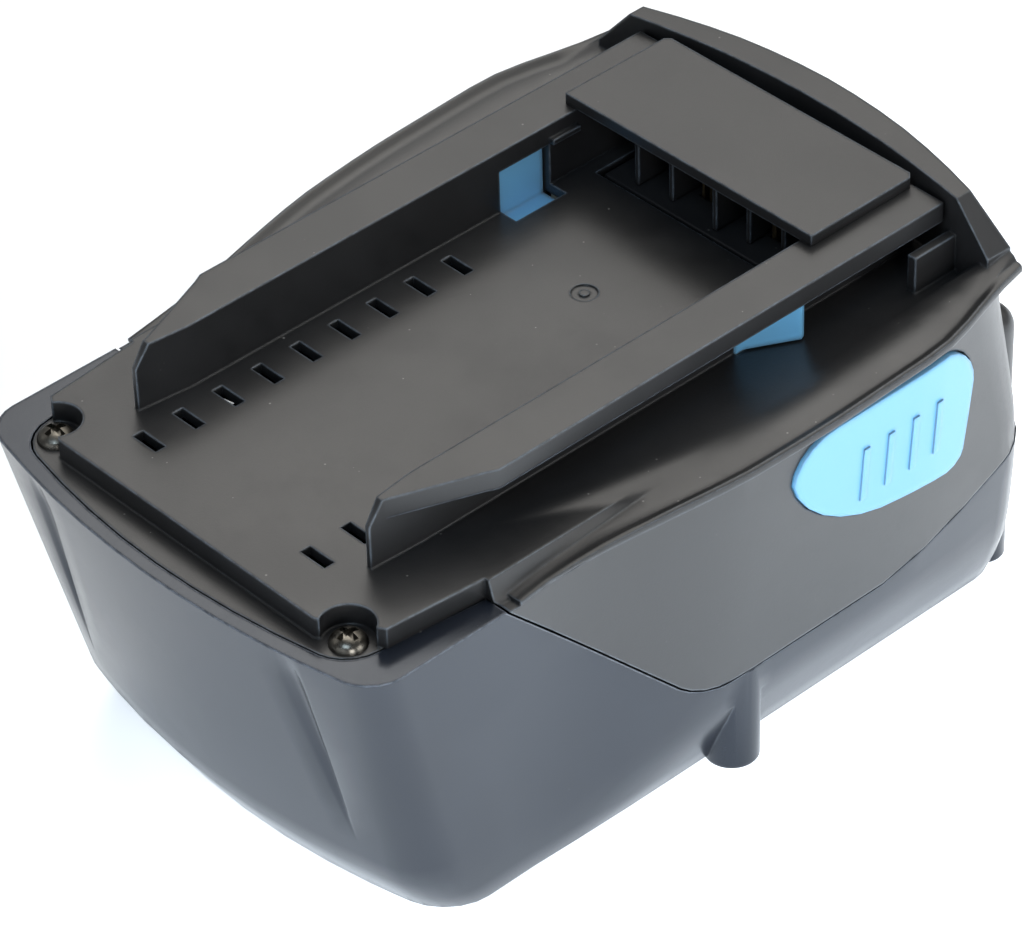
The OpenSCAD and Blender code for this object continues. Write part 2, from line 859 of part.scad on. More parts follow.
module rear_tower_top() {
    dome_h = 3.7;
    from = rear_seam_z + seam / 2;
    translate([rear_tower_x, rear_tower_y, 0]) {
        translate([0, 0, from]) cylinder(d = rear_tower_d, h = rear_tower_h - dome_h - from);
        rotate_extrude() polygon(concat(
            [[0, from], [rear_tower_d / 2, from], [rear_tower_d / 2, rear_tower_h - dome_h]],
            corner(
                [rear_tower_d / 2, rear_tower_h - dome_h],
                [rear_tower_d / 2, rear_tower_h],
                [0, rear_tower_h],
                6
            )
        ));
    }
}

module vent_slots() {
    slot_x = 15.1;
    slot_in = 16.1;
    for (i = [0:slot_count - 1])
        translate([slot_x, front_y + slot_in + i * slot_pitch - slot_w / 2, deck_under_z - over])
            cube([slot_l, slot_w, roof_t + 2 * over]);
}

module upper_housing() {
    slot_inner_x = riser_x - latch_travel - 2 * slide_gap;
    slot_outer_x = riser_x + riser_t + slide_gap;
    pocket_d = 7.9;
    gate_y = 14.4;
    gate_z = 0.3;
    gate_pip_share = 0.4;
    color("#2a2a2b")
    difference() {
        union() {
            difference() {
                intersection() {
                    skirt_body(0);
                    under_roof(0);
                }
                intersection() {
                    skirt_body(wall);
                    under_roof(roof_t);
                }
                below_parting(seam / 2);
            }
            difference() {
                union() {
                    translate([0, 0, land_z])
                        linear_extrude(wall) polygon(both_halves(lid_half(0, notch_y)));
                    translate([0, 0, land_z])
                        linear_extrude(deck_z - land_z) polygon(both_halves(deck_half(0, notch_y + wall)));
                }
                difference() {
                    translate([0, 0, land_z - over])
                        linear_extrude(deck_under_z - land_z + over)
                            polygon(both_halves(deck_half(wall, notch_y + 2 * wall)));
                    both_sides()
                        translate([front_screw_x, front_screw_y, 0])
                            cylinder(d = pocket_d + 2 * roof_t, h = deck_z);
                }
            }
            both_sides() {
                shoulder();
                rail();
                stop_block();
                side_column();
                rear_tower_top();
            }
            back_wall();
        }
        both_sides() {
            vent_slots();
            pad_prism(slide_gap);
            translate([slot_inner_x, window_y, deck_under_z - over])
                cube([slot_outer_x - slot_inner_x, window_w, roof_t + over]);
            translate([rail_inner_x - over, window_y, deck_z - sink])
                cube([web_t + 2 * over, window_w, window_h + sink]);
            translate([front_screw_x, front_screw_y, rim_z]) cylinder(d = pocket_d, h = deck_z);
            translate([front_screw_x, front_screw_y, land_z - over])
                cylinder(d = screw_d + 2 * slide_gap, h = deck_z);
            translate([side_tower_x, side_tower_y, 0])
                cylinder(d = screw_d + cell_gap, h = low_seat_z + side_screw_l + over);
            translate([rear_tower_x, rear_tower_y, 0])
                cylinder(d = screw_d + cell_gap, h = low_seat_z + rear_screw_l + over);
        }
        translate([-bay_half_w, bay_y, deck_under_z - over])
            cube([2 * bay_half_w, bay_back_y - bay_y, roof_t + 2 * over]);
        translate([0, gate_y, deck_z - gate_z]) difference() {
            cylinder(d = gate_d, h = over);
            translate([0, 0, -over]) cylinder(d = gate_pip_share * gate_d, h = gate_z + over);
        }
    }
}

// Column under the right shoulder that takes the screw of the side tower
module side_column() {
    translate([side_tower_x, side_tower_y, side_tower_h + slide_gap])
        cylinder(d = column_d, h = shoulder_z(side_tower_y) - roof_t - side_tower_h);
}

// Terminal bay

fin_places = [-14.1, -7.7, 1.95, 7.65, 12.3];
fin_t = 0.8;
fin_in = 29.2;
fin_leans = [0, 0.7, 0, 1.2, 3.6];
block_top_z = deck_z - 2 * slide_gap;
block_in = 30.6;
block_back_in = 14.6;

module terminal_cover() {
    back_t = 1.6;
    hook_l = 1.2;
    hook_h = 1.2;
    corner_cut = 0.8;
    color("#2a2a2b") {
        translate([0, 0, rail_top_z])
            linear_extrude(bridge_t) polygon([
                [-bridge_half_w, bridge_y],
                [bridge_half_w, bridge_y],
                [bridge_half_w, rail_back_y - corner_cut],
                [bridge_half_w - corner_cut, rail_back_y],
                [-bridge_half_w + corner_cut, rail_back_y],
                [-bridge_half_w, rail_back_y - corner_cut]
            ]);
        for (i = [0:len(fin_places) - 1])
            translate([fin_places[i] - fin_t / 2, back_y - fin_in + fin_leans[i], block_top_z + seat_gap])
                cube([
                    fin_t,
                    fin_in - fin_leans[i] - bay_back_in - back_t + sink,
                    rail_top_z - block_top_z - seat_gap + sink
                ]);
        translate([-rail_inner_x + seat_gap, bay_back_y - back_t, deck_z + seat_gap])
            cube([2 * (rail_inner_x - seat_gap), back_t, rail_top_z - deck_z - seat_gap + sink]);
        both_sides() translate([bay_half_w / 2, 0, 0]) {
            translate([0, bay_back_y - back_t, deck_under_z - seat_gap - hook_h])
                cube([back_t * 2, back_t - seat_gap, deck_z - deck_under_z + hook_h + 2 * seat_gap + sink]);
            translate([0, bay_back_y - back_t, deck_under_z - seat_gap - hook_h])
                cube([back_t * 2, back_t + hook_l, hook_h]);
        }
    }
}

// Contact forks: middle of each fork across the bay
power_places = [-10.9, 10];
signal_places = [-4.6, -1, 4.8];
power_blade_t = 0.8;
signal_blade_t = 0.5;
fork_gap = 1;
contact_l = 9;
signal_l = 5;
contact_rise = 6.6;
contact_top_z = deck_z + contact_rise;
well_gap = 0.35;
well_floor = 1.4;

module fork(blade_t, length) {
    base = board_top_z + well_floor;
    for (s = [-1, 1])
        translate([s * (fork_gap + blade_t) / 2 - blade_t / 2, 0, 0])
            across_blade(blade_t, length, base);
    translate([-fork_gap / 2 - sink, 0, base]) cube([fork_gap + 2 * sink, length, blade_t]);
}
module across_blade(blade_t, length, base) {
    nose = length / 4;
    translate([blade_t / 2, 0, 0]) across(blade_t) polygon([
        [0, base],
        [0, contact_top_z - nose],
        [nose, contact_top_z],
        [length, contact_top_z],
        [length, base]
    ]);
}
contact_inset = 6.4;
contact_y = back_y - block_in + contact_inset;

module power_contacts() {
    color("#b8a070") for (x = power_places) translate([x, contact_y, 0]) fork(power_blade_t, contact_l);
}

module signal_contacts() {
    color("#c8c8c4") for (x = signal_places) translate([x, contact_y, 0]) fork(signal_blade_t, signal_l);
}

module terminal_block() {
    color("#26282b")
    difference() {
        translate([-block_w / 2, back_y - block_in, board_top_z])
            cube([block_w, block_in - block_back_in, block_top_z - board_top_z]);
        for (x = power_places)
            well(x, fork_gap + 2 * power_blade_t, contact_l);
        for (x = signal_places)
            well(x, fork_gap + 2 * signal_blade_t, signal_l);
        translate([tab_foot_x - slide_gap, tab_y(column_count - 1) - slide_gap, board_top_z - over])
            cube([block_w, tab_w + 2 * slide_gap, over + tab_t + seat_gap]);
    }
}
module well(x, width, length) {
    translate([x - width / 2 - well_gap, contact_y - well_gap, board_top_z + well_floor])
        cube([width + 2 * well_gap, length + 2 * well_gap, deck_z]);
}

// Latches

spring_drop = 3.8;
spring_z = latch_z - spring_drop;
post_x = 20.5;
post_t = 1.5;
lug_x = 33;
lug_t = 1.5;
lug_w = 5.1;
spigot_d = 3.4;
spigot_l = 1.4;

module latch() {
    grip_w = 1.2;
    grip_h = 0.3;
    grip_from_share = 0.38;
    grip_to_share = 0.78;
    grip_low_share = 0.27;
    grip_high_share = 0.68;
    flange_drop = wall + slide_gap;
    tip_in = 0.8;
    nose_t = 0.3;
    pad_steps = 9;
    color("#45aee0") {
        intersection() {
            pad_prism(0);
            skin_slab(pad_proud, -pad_t, pad_y - over, pad_y + pad_l + over, pad_z - over, pad_z + pad_h + over, pad_steps);
        }
        intersection() {
            pad_prism(pad_rim);
            skin_slab(
                -flange_drop, -pad_t,
                pad_y - 2 * pad_rim, pad_y + pad_l + 2 * pad_rim, pad_z - 2 * pad_rim, pad_z + pad_h - pad_rim, pad_steps
            );
        }
        for (i = [0:grip_count - 1])
            let (y = pad_y + pad_l * mix(grip_from_share, grip_to_share, i / (grip_count - 1)))
            skin_slab(
                pad_proud + grip_h, pad_proud - grip_h,
                y - grip_w / 2, y + grip_w / 2,
                pad_z + pad_h * grip_low_share, pad_z + pad_h * grip_high_share, 1
            );
        translate([latch_inner_x, latch_y, latch_z])
            cube([side_x(latch_y, latch_z) - pad_t + sink - latch_inner_x, latch_w, latch_t]);
        translate([riser_x, latch_y, latch_z]) cube([riser_t, latch_w, deck_z - latch_z + 2 * slide_gap]);
        translate([0, 0, deck_z + slide_gap])
            linear_extrude(wedge_h) polygon([
                [riser_x, latch_y],
                [riser_x + riser_t, latch_y],
                [riser_x + riser_t + nose_t, latch_y + tip_in],
                [wedge_x, latch_y + latch_w - tip_in],
                [wedge_x - nose_t, latch_y + latch_w],
                [riser_x, latch_y + latch_w]
            ]);
        translate([lug_x, latch_y + (latch_w - lug_w) / 2, spring_z - spring_d / 2])
            cube([lug_t, lug_w, latch_z - spring_z + spring_d / 2 + sink]);
        translate([lug_x - spigot_l, latch_y + latch_w / 2, spring_z])
            rotate([0, 90, 0]) cylinder(d = spigot_d, h = spigot_l + sink);
    }
}

module release_latch_right() { latch(); }
module release_latch_left() { mirror([1, 0, 0]) latch(); }

// Compression spring between the post on the carrier and the lug of the latch
module latch_spring() {
    rings = 8;
    sides = 6;
    steps = curl_count * rings;
    from = post_x + post_t + wire_d / 2 + sink;
    to = lug_x - wire_d / 2 - sink;
    coil_r = (spring_d - wire_d) / 2;
    lead = (to - from) / curl_count / 360;
    middle = latch_y + latch_w / 2;
    function place(a) = [from + lead * a, middle + coil_r * cos(a), spring_z + coil_r * sin(a)];
    color("#b4b4b0") loft([
        for (i = [0:steps])
            let (
                a = i * 360 / rings,
                out = [0, cos(a), sin(a)],
                run = [lead * 180 / PI, -coil_r * sin(a), coil_r * cos(a)],
                over_dir = cross(out, run) / norm(cross(out, run))
            )
            [
                for (k = [0:sides - 1])
                    let (b = -k * 360 / sides)
                    place(a) + (out * cos(b) + over_dir * sin(b)) * wire_d / 2
            ]
    ]);
    echo(least_gap_between_curls = (to - from) / curl_count - wire_d);
}
module latch_spring_right() { latch_spring(); }
module latch_spring_left() { mirror([1, 0, 0]) latch_spring(); }

// Cells and what holds them

bore_r = cell_d / 2 + cell_gap;
cell_back_in = 17.3;
holder_z = floor_z + seat_gap;
bore_floor = 0.25;
low_cell_z = holder_z + bore_floor + bore_r;
high_cell_z = low_cell_z + cell_pitch;
holder_top_z = high_cell_z + bore_r + bore_floor;
column_count = 6;
holder_end_in = 4.5;
holder_out_x = cell_l / 2 - holder_end_in;
function column_y(i) = back_y - cell_back_in - (column_count - 1 - i) * cell_pitch;

// One cell, lying across the body; the button end points to +X
module cell_body() {
    button_d = 7;
    button_h = 0.8;
    edge_r = 1;
    crimp_in = 3.2;
    crimp_d = 0.5;
    crimp_w = 1;
    r = cell_d / 2;
    h = cell_l - button_h;
    rotate([0, 90, 0]) translate([0, 0, -cell_l / 2]) rotate_extrude() polygon([
        [0, 0],
        [r - edge_r, 0],
        [r, edge_r],
        [r, h - crimp_in - crimp_w],
        [r - crimp_d, h - crimp_in - crimp_w / 2],
        [r, h - crimp_in],
        [r, h - edge_r],
        [r - edge_r, h],
        [button_d / 2, h],
        [button_d / 2, cell_l],
        [0, cell_l]
    ]);
}

module cell(i) {
    column = floor((i - 1) / 2);
    z = i % 2 == 1 ? low_cell_z : high_cell_z;
    color("#2e8c74")
        translate([0, column_y(column), z])
            mirror([column % 2, 0, 0]) cell_body();
}

// Outline round all cells, seen from the side
module pack_outline(r) {
    y0 = column_y(0);
    y1 = column_y(column_count - 1);
    for (y = [y0, y1], z = [low_cell_z, high_cell_z]) translate([y, z]) circle(r);
    translate([y0 - r, low_cell_z]) square([y1 - y0 + 2 * r, high_cell_z - low_cell_z]);
    translate([y0, low_cell_z - r]) square([y1 - y0, high_cell_z - low_cell_z + 2 * r]);
}

module cell_holder_right() {
    width = body_l;
    color("#3a3f45")
    difference() {
        translate([holder_out_x - holder_grip / 2, 0, 0]) across(holder_grip) intersection() {
            pack_outline(bore_r + holder_rim);
            translate([-width / 2, holder_z]) square([width, holder_top_z - holder_z]);
        }
        for (i = [0:column_count - 1], z = [low_cell_z, high_cell_z])
            translate([holder_out_x - holder_grip - over, column_y(i), z])
                rotate([0, 90, 0]) cylinder(r = bore_r, h = holder_grip + 2 * over);
    }
}
module cell_holder_left() { mirror([1, 0, 0]) cell_holder_right(); }

// Welded strap over one column of cells or over two
module strap(first, count) {
    disc_r = 6;
    bar_w = 8;
    slit_w = 1;
    slit_l = 7;
    translate([cell_l / 2 + strap_t / 2, 0, 0]) across(strap_t) difference() {
        union() {
            for (i = [first:first + count - 1]) {
                for (z = [low_cell_z, high_cell_z]) translate([column_y(i), z]) circle(disc_r);
                translate([column_y(i) - bar_w / 2, low_cell_z]) square([bar_w, cell_pitch]);
            }
            for (z = [low_cell_z, high_cell_z])
                translate([column_y(first), z - bar_w / 2]) square([(count - 1) * cell_pitch + sink, bar_w]);
        }
        for (i = [first:first + count - 1], z = [low_cell_z, high_cell_z])
            translate([column_y(i) - slit_w / 2, z - slit_l / 2]) square([slit_w, slit_l]);
    }
}
module cell_straps_right() {
    color("#c4c6c4") {
        strap(0, 1);
        strap(1, 2);
        strap(3, 2);
        strap(5, 1);
    }
}
module cell_straps_left() {
    color("#c4c6c4") mirror([1, 0, 0]) for (i = [0, 2, 4]) strap(i, 2);
}

insulator_t = 0.4;
tab_t = 0.25;
insulator_r = 8.6;
module insulator_right() {
    color("#c9c4a0")
        translate([cell_l / 2 + strap_t + tab_t + insulator_t / 2 + seat_gap / 2, 0, 0])
            across(insulator_t) pack_outline(insulator_r);
}
module insulator_left() { mirror([1, 0, 0]) insulator_right(); }

// Carrier of the board, which also guides the latches

carrier_t = 1.6;
carrier_half_w = 30;
carrier_wing_x = 36.7;
carrier_z = holder_top_z + seat_gap;
carrier_in = 17.6;
carrier_back_in = 11;
guide_t = 1.3;
standoff_d = 6;
standoff_x = 15;
standoff_in = 12;
standoff_back_in = 21;
standoff_h = 2.4;
board_z = carrier_z + carrier_t + standoff_h;
board_top_z = board_z + board_t;
board_y = bay_back_y - board_l;
board_screw_d = 2;
board_screw_l = 5;
function standoff_places() = [
    for (y = [board_y + standoff_in, board_y + board_l - standoff_back_in], x = [-standoff_x, standoff_x]) [x, y]
];

module board_carrier() {
    window_x = 10;
    bridge_w = 10;
    ends = [front_y + carrier_in, back_y - carrier_back_in];
    span = ends[1] - ends[0];
    wing_y = latch_y - slide_gap - guide_t;
    wing_w = latch_w + 2 * (slide_gap + guide_t);
    low = carrier_z + carrier_t - sink;
    color("#34383c")
    difference() {
        union() {
            translate([-carrier_half_w, ends[0], carrier_z]) cube([2 * carrier_half_w, span, carrier_t]);
            both_sides() {
                translate([post_x, wing_y, carrier_z]) cube([carrier_wing_x - post_x, wing_w, carrier_t]);
                for (y = [wing_y, wing_y + wing_w - guide_t])
                    translate([riser_x, y, low])
                        cube([carrier_wing_x - riser_x, guide_t, latch_z + latch_t - low]);
                translate([carrier_wing_x - guide_t, wing_y, low])
                    cube([guide_t, wing_w, latch_z - seat_gap - low]);
                translate([post_x, latch_y + (latch_w - lug_w) / 2, low])
                    cube([post_t, lug_w, latch_z - seat_gap - low]);
                translate([post_x, latch_y + latch_w / 2, spring_z])
                    rotate([0, 90, 0]) cylinder(d = spigot_d, h = post_t + spigot_l);
            }
            for (p = standoff_places())
                translate([p.x, p.y, carrier_z]) cylinder(d = standoff_d, h = board_z - carrier_z);
        }
        for (s = [0, 1, 2])
            translate([-window_x, ends[0] + bridge_w + s * (span - bridge_w) / 3, carrier_z - over])
                cube([2 * window_x, (span - bridge_w) / 3 - bridge_w, carrier_t + 2 * over]);
        for (p = standoff_places())
            translate([p.x, p.y, carrier_z - over])
                cylinder(d = board_screw_d + cell_gap, h = board_z - carrier_z + 2 * over);
    }
}

module control_board() {
    notch_w = 6;
    notch_d = 2.5;
    color("#1f5a35")
    difference() {
        translate([-board_w / 2, board_y, board_z]) cube([board_w, board_l, board_t]);
        for (p = standoff_places())
            translate([p.x, p.y, board_z - over])
                cylinder(d = board_screw_d + slide_gap, h = board_t + 2 * over);
        both_sides()
            translate([board_w / 2 - notch_d, board_y + board_l / 3, board_z - over])
                cube([notch_d + over, notch_w, board_t + 2 * over]);
    }
}

module board_screws() {
    head = 3.8;
    height = 1.3;
    color("#a8a8a4")
        for (p = standoff_places())
            translate([p.x, p.y, board_top_z]) pan_screw(head, height, board_screw_d, board_screw_l);
}

// Power transistors, shunt, controller and connector on the board
module board_components() {
    transistor_w = 10;
    transistor_l = 9;
    transistor_h = 4.4;
    transistor_pitch = 12;
    transistor_x = -11;
    shunt_w = 12;
    shunt_l = 4;
    shunt_h = 1.2;
    shunt_x = 6;
    chip_w = 9;
    chip_h = 1.4;
    chip_x = 4.5;
    chip_in = 18;
    plug_w = 12;
    plug_l = 5;
    plug_h = 4;
    plug_in = 45;
    cap_d = 6.3;
    cap_h = 5.4;
    cap_in = 37.8;
    cap_side_in = 6.4;
    first_in = 16;
    first_y = board_y + first_in;
    translate([0, 0, board_top_z]) {
        color("#2b2b2d") for (i = [0:2])
            translate([transistor_x, first_y + i * transistor_pitch, 0])
                cube([transistor_w, transistor_l, transistor_h]);
        color("#9a7d55") translate([shunt_x, first_y, 0]) cube([shunt_w, shunt_l, shunt_h]);
        color("#222426") translate([chip_x, first_y + chip_in, 0]) cube([chip_w, chip_w, chip_h]);
        color("#e4e0d4") translate([-plug_w / 2, first_y + plug_in, 0]) cube([plug_w, plug_l, plug_h]);
        color("#3c4a6e")
            translate([board_w / 2 - cap_side_in, first_y + cap_in, 0]) cylinder(d = cap_d, h = cap_h);
    }
}

// Bent strip from the end strap of the cells to the board
tab_w = 6;
tab_foot_l = 5;
tab_foot_x = board_w / 2 - tab_foot_l;
function tab_y(column) = column_y(column) - tab_w / 2;
module power_tab(column, side) {
    x = cell_l / 2 + strap_t;
    y = tab_y(column);
    color("#c4c6c4") mirror([side, 0, 0]) {
        translate([x, y, high_cell_z + tab_w / 2]) cube([tab_t, tab_w, board_top_z - high_cell_z - tab_w / 2]);
        translate([tab_foot_x, y, board_top_z]) cube([x + tab_t - tab_foot_x, tab_w, tab_t]);
    }
}
module positive_tab() { power_tab(0, 0); }
module negative_tab() { power_tab(column_count - 1, 0); }

// Sensor bead on a cell, with its two leads up to the board
module temperature_sensor() {
    bead_d = 2.6;
    lead_d = 0.5;
    lead_x = 0.7;
    y = column_y(2);
    z = high_cell_z + cell_d / 2;
    color("#23272c") translate([0, y, z]) {
        translate([0, 0, bead_d / 2]) sphere(d = bead_d);
        for (s = [-1, 1])
            translate([s * lead_x, 0, bead_d / 2]) cylinder(d = lead_d, h = board_z - z - bead_d / 2);
    }
}

// Screws of the housing

module front_screws() {
    color("#8d8c86") both_sides()
        translate([front_screw_x, front_screw_y, rim_z])
            pan_screw(head_d, head_h, screw_d, front_screw_l);
}

module side_tower_screws() {
    color("#8d8c86") both_sides()
        translate([side_tower_x, side_tower_y, low_seat_z])
            mirror([0, 0, 1]) pan_screw(head_d, head_h, screw_d, side_screw_l);
}

module rear_tower_screws() {
    color("#8d8c86") both_sides()
        translate([rear_tower_x, rear_tower_y, low_seat_z])
            mirror([0, 0, 1]) pan_screw(head_d, head_h, screw_d, rear_screw_l);
}

lower_housing();
upper_housing();
terminal_cover();
terminal_block();
release_latch_right();
release_latch_left();
latch_spring_right();
latch_spring_left();
front_screws();
side_tower_screws();
rear_tower_screws();
cell_holder_right();
cell_holder_left();
cell_straps_right();
cell_straps_left();
insulator_right();
insulator_left();
board_carrier();
control_board();
board_components();
board_screws();
power_contacts();
signal_contacts();
positive_tab();
negative_tab();
temperature_sensor();
for (i = [1:12])
    cell(i);
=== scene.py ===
import json
import math

import bmesh
import bpy
from mathutils import Matrix, Vector


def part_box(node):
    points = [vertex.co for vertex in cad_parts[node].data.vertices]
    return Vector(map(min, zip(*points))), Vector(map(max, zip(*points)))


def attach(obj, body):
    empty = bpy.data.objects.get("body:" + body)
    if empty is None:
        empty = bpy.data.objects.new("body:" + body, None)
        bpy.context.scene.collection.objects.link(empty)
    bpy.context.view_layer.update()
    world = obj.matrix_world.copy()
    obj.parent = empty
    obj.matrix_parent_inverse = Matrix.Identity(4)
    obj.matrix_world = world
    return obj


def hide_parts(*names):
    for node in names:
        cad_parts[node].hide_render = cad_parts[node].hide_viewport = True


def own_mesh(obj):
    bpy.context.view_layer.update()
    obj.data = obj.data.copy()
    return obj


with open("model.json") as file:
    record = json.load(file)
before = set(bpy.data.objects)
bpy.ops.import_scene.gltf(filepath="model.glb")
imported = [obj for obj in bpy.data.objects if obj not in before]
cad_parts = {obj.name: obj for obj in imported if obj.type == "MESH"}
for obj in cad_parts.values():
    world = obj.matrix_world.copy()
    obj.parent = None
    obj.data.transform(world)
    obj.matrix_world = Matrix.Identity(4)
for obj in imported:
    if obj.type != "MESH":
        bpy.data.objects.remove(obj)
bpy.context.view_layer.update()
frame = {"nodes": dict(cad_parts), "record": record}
NODES = frame["nodes"]
MM = 0.001

# Camera that was fitted to the photograph
CAMERA_PLACE = Vector((431.0, -386.3, 495.5)) * MM
CAMERA_RIGHT = Vector((0.6763, 0.7360, -0.0309))
CAMERA_DOWN = Vector((0.4415, -0.4386, -0.7828))
IMAGE_WIDTH = 1024
IMAGE_HEIGHT = 939
FOCAL_PX = 5159
PRINCIPAL_PX = (464.9, 450.4)
SENSOR_MM = 36
CLIP_NEAR = 0.01
CLIP_FAR = 30


def add_camera():
    """The camera stands where the photograph was taken from, with the same crop."""
    data = bpy.data.cameras.new("photo_camera")
    data.sensor_fit = "HORIZONTAL"
    data.sensor_width = SENSOR_MM
    data.lens = FOCAL_PX / IMAGE_WIDTH * SENSOR_MM
    data.shift_x = (IMAGE_WIDTH / 2 - PRINCIPAL_PX[0]) / IMAGE_WIDTH
    data.shift_y = (PRINCIPAL_PX[1] - IMAGE_HEIGHT / 2) / IMAGE_WIDTH
    data.clip_start = CLIP_NEAR
    data.clip_end = CLIP_FAR
    camera = bpy.data.objects.new("photo_camera", data)
    right = CAMERA_RIGHT.normalized()
    back = right.cross(-CAMERA_DOWN).normalized()
    up = back.cross(right)
    turn = Matrix((right, up, back)).transposed().to_4x4()
    camera.matrix_world = Matrix.Translation(CAMERA_PLACE) @ turn
    bpy.context.scene.collection.objects.link(camera)
    bpy.context.scene.camera = camera


# Node trees


class Tree:
    """Adds and joins nodes in a material, a world or a group."""

    def __init__(self, tree):
        self.tree = tree
        self.nodes = tree.nodes
        self.links = tree.links

    def add(self, kind, settings=(), **inputs):
        node = self.nodes.new(kind)
        for name, value in dict(settings).items():
            setattr(node, name, value)
        for name, value in inputs.items():
            self.feed(node, name.replace("_", " "), value)
        return node

    def feed(self, node, name, value):
        socket = node.inputs[int(name)] if name.isdigit() else node.inputs[name]
        if isinstance(value, bpy.types.NodeSocket):
            self.links.new(value, socket)
        else:
            socket.default_value = value

    def math(self, operation, a, b=0.0, clamp=False):
        node = self.nodes.new("ShaderNodeMath")
        node.operation = operation
        node.use_clamp = clamp
        self.feed(node, "0", a)
        self.feed(node, "1", b)
        return node.outputs[0]

    def mix(self, share, a, b):
        node = self.nodes.new("ShaderNodeMix")
        node.data_type = "RGBA"
        self.feed(node, "0", share)
        self.feed(node, "6", a)
        self.feed(node, "7", b)
        return node.outputs[2]

    def span(self, value, low, high, to_low=0.0, to_high=1.0):
        """Takes low to high over to to_low to to_high, smoothly, and holds the ends."""
        node = self.nodes.new("ShaderNodeMapRange")
        node.interpolation_type = "SMOOTHSTEP"
        for name, number in zip("01234", (value, low, high, to_low, to_high)):
            self.feed(node, name, number)
        return node.outputs[0]

    def noise(self, place, scale, detail, roughness):
        """Cloudy values around a half; the scale is in waves per metre."""
        node = self.add("ShaderNodeTexNoise", Vector=place, Scale=scale, Detail=detail, Roughness=roughness)
        return node.outputs["Fac"]

    def place(self):
        """Where the shaded point lies in the part, in metres."""
        return self.add("ShaderNodeTexCoord").outputs["Object"]


def new_group(name, inputs, outputs):
    """A shader group with float inputs {name: start value} and outputs {name: socket type}."""
    tree = bpy.data.node_groups.new(name, "ShaderNodeTree")
    for label, value in inputs.items():
        socket = tree.interface.new_socket(label, in_out="INPUT", socket_type="NodeSocketFloat")
        socket.default_value = value
    for label, kind in outputs.items():
        tree.interface.new_socket(label, in_out="OUTPUT", socket_type=kind)
    t = Tree(tree)
    return t, t.add("NodeGroupInput").outputs, t.add("NodeGroupOutput").inputs


# Effects that several finishes share

# A noise is (detail, roughness). A span is (low, high), or (low, high, value at low, value at high).
GRAIN_SCALE = 5200.0
CLOUD_SCALE = 45.0
FINE_GRAIN = (3.0, 0.6)
COARSE_GRAIN = (2.0, 0.5)
CLOUDS = (4.0, 0.6)
FINE_GRAIN_SHARE = 0.65
COARSE_SCALE_SHARE = 0.37
CLOUD_SPAN = (0.35, 0.65)
GRAIN_SPAN = (0.38, 0.62)

EDGE_ROUND = 0.6 * MM
CORNER_REACH = 1.6 * MM
SKY_SAMPLES = 5
BEVEL_SAMPLES = 6
OUTER_EDGE_SPAN = (0.72, 0.93)
INNER_CORNER_SPAN = (0.8, 0.3)
BEND_SPAN = (0.99, 0.80)
BREAK_SCALE = 600.0
BREAKS = (3.0, 0.6)
BREAK_SPAN = (0.3, 0.62, 0.4, 1.0)

SPECK_SCALE = 900.0
SPECKED_SHARE = 0.035
SPECK_GROWTH = 5.0
LEAST_SPECK = 0.06
SPECK_SOFTNESS = 0.03
FACING_UP_SPAN = (0.2, 0.9, 0.15, 1.0)
MARK_SCALE = 60.0
MARKS = (6.0, 0.75)
MARK_WIDTH_SPAN = (0.012, 0.0)
MARK_SIDE_SPAN = (0.4, 0.5)


def moulded_grain_group():
    """Spark-eroded grain of a mould, with faint flow clouds."""
    t, given, out = new_group(
        "moulded_grain",
        {"Grain Scale": GRAIN_SCALE, "Cloud Scale": CLOUD_SCALE},
        {"Height": "NodeSocketFloat", "Clouds": "NodeSocketFloat", "Grain": "NodeSocketFloat"},
    )
    place = t.place()
    fine = t.noise(place, given["Grain Scale"], *FINE_GRAIN)
    coarse_scale = t.math("MULTIPLY", given["Grain Scale"], COARSE_SCALE_SHARE)
    coarse = t.noise(place, coarse_scale, *COARSE_GRAIN)
    fine_part = t.math("MULTIPLY", fine, FINE_GRAIN_SHARE)
    grain = t.math("ADD", fine_part, t.math("MULTIPLY", coarse, 1 - FINE_GRAIN_SHARE))
    clouds = t.span(t.noise(place, given["Cloud Scale"], *CLOUDS), *CLOUD_SPAN)
    t.links.new(grain, out["Height"])
    t.links.new(clouds, out["Clouds"])
    t.links.new(t.span(grain, *GRAIN_SPAN), out["Grain"])
    return t.tree


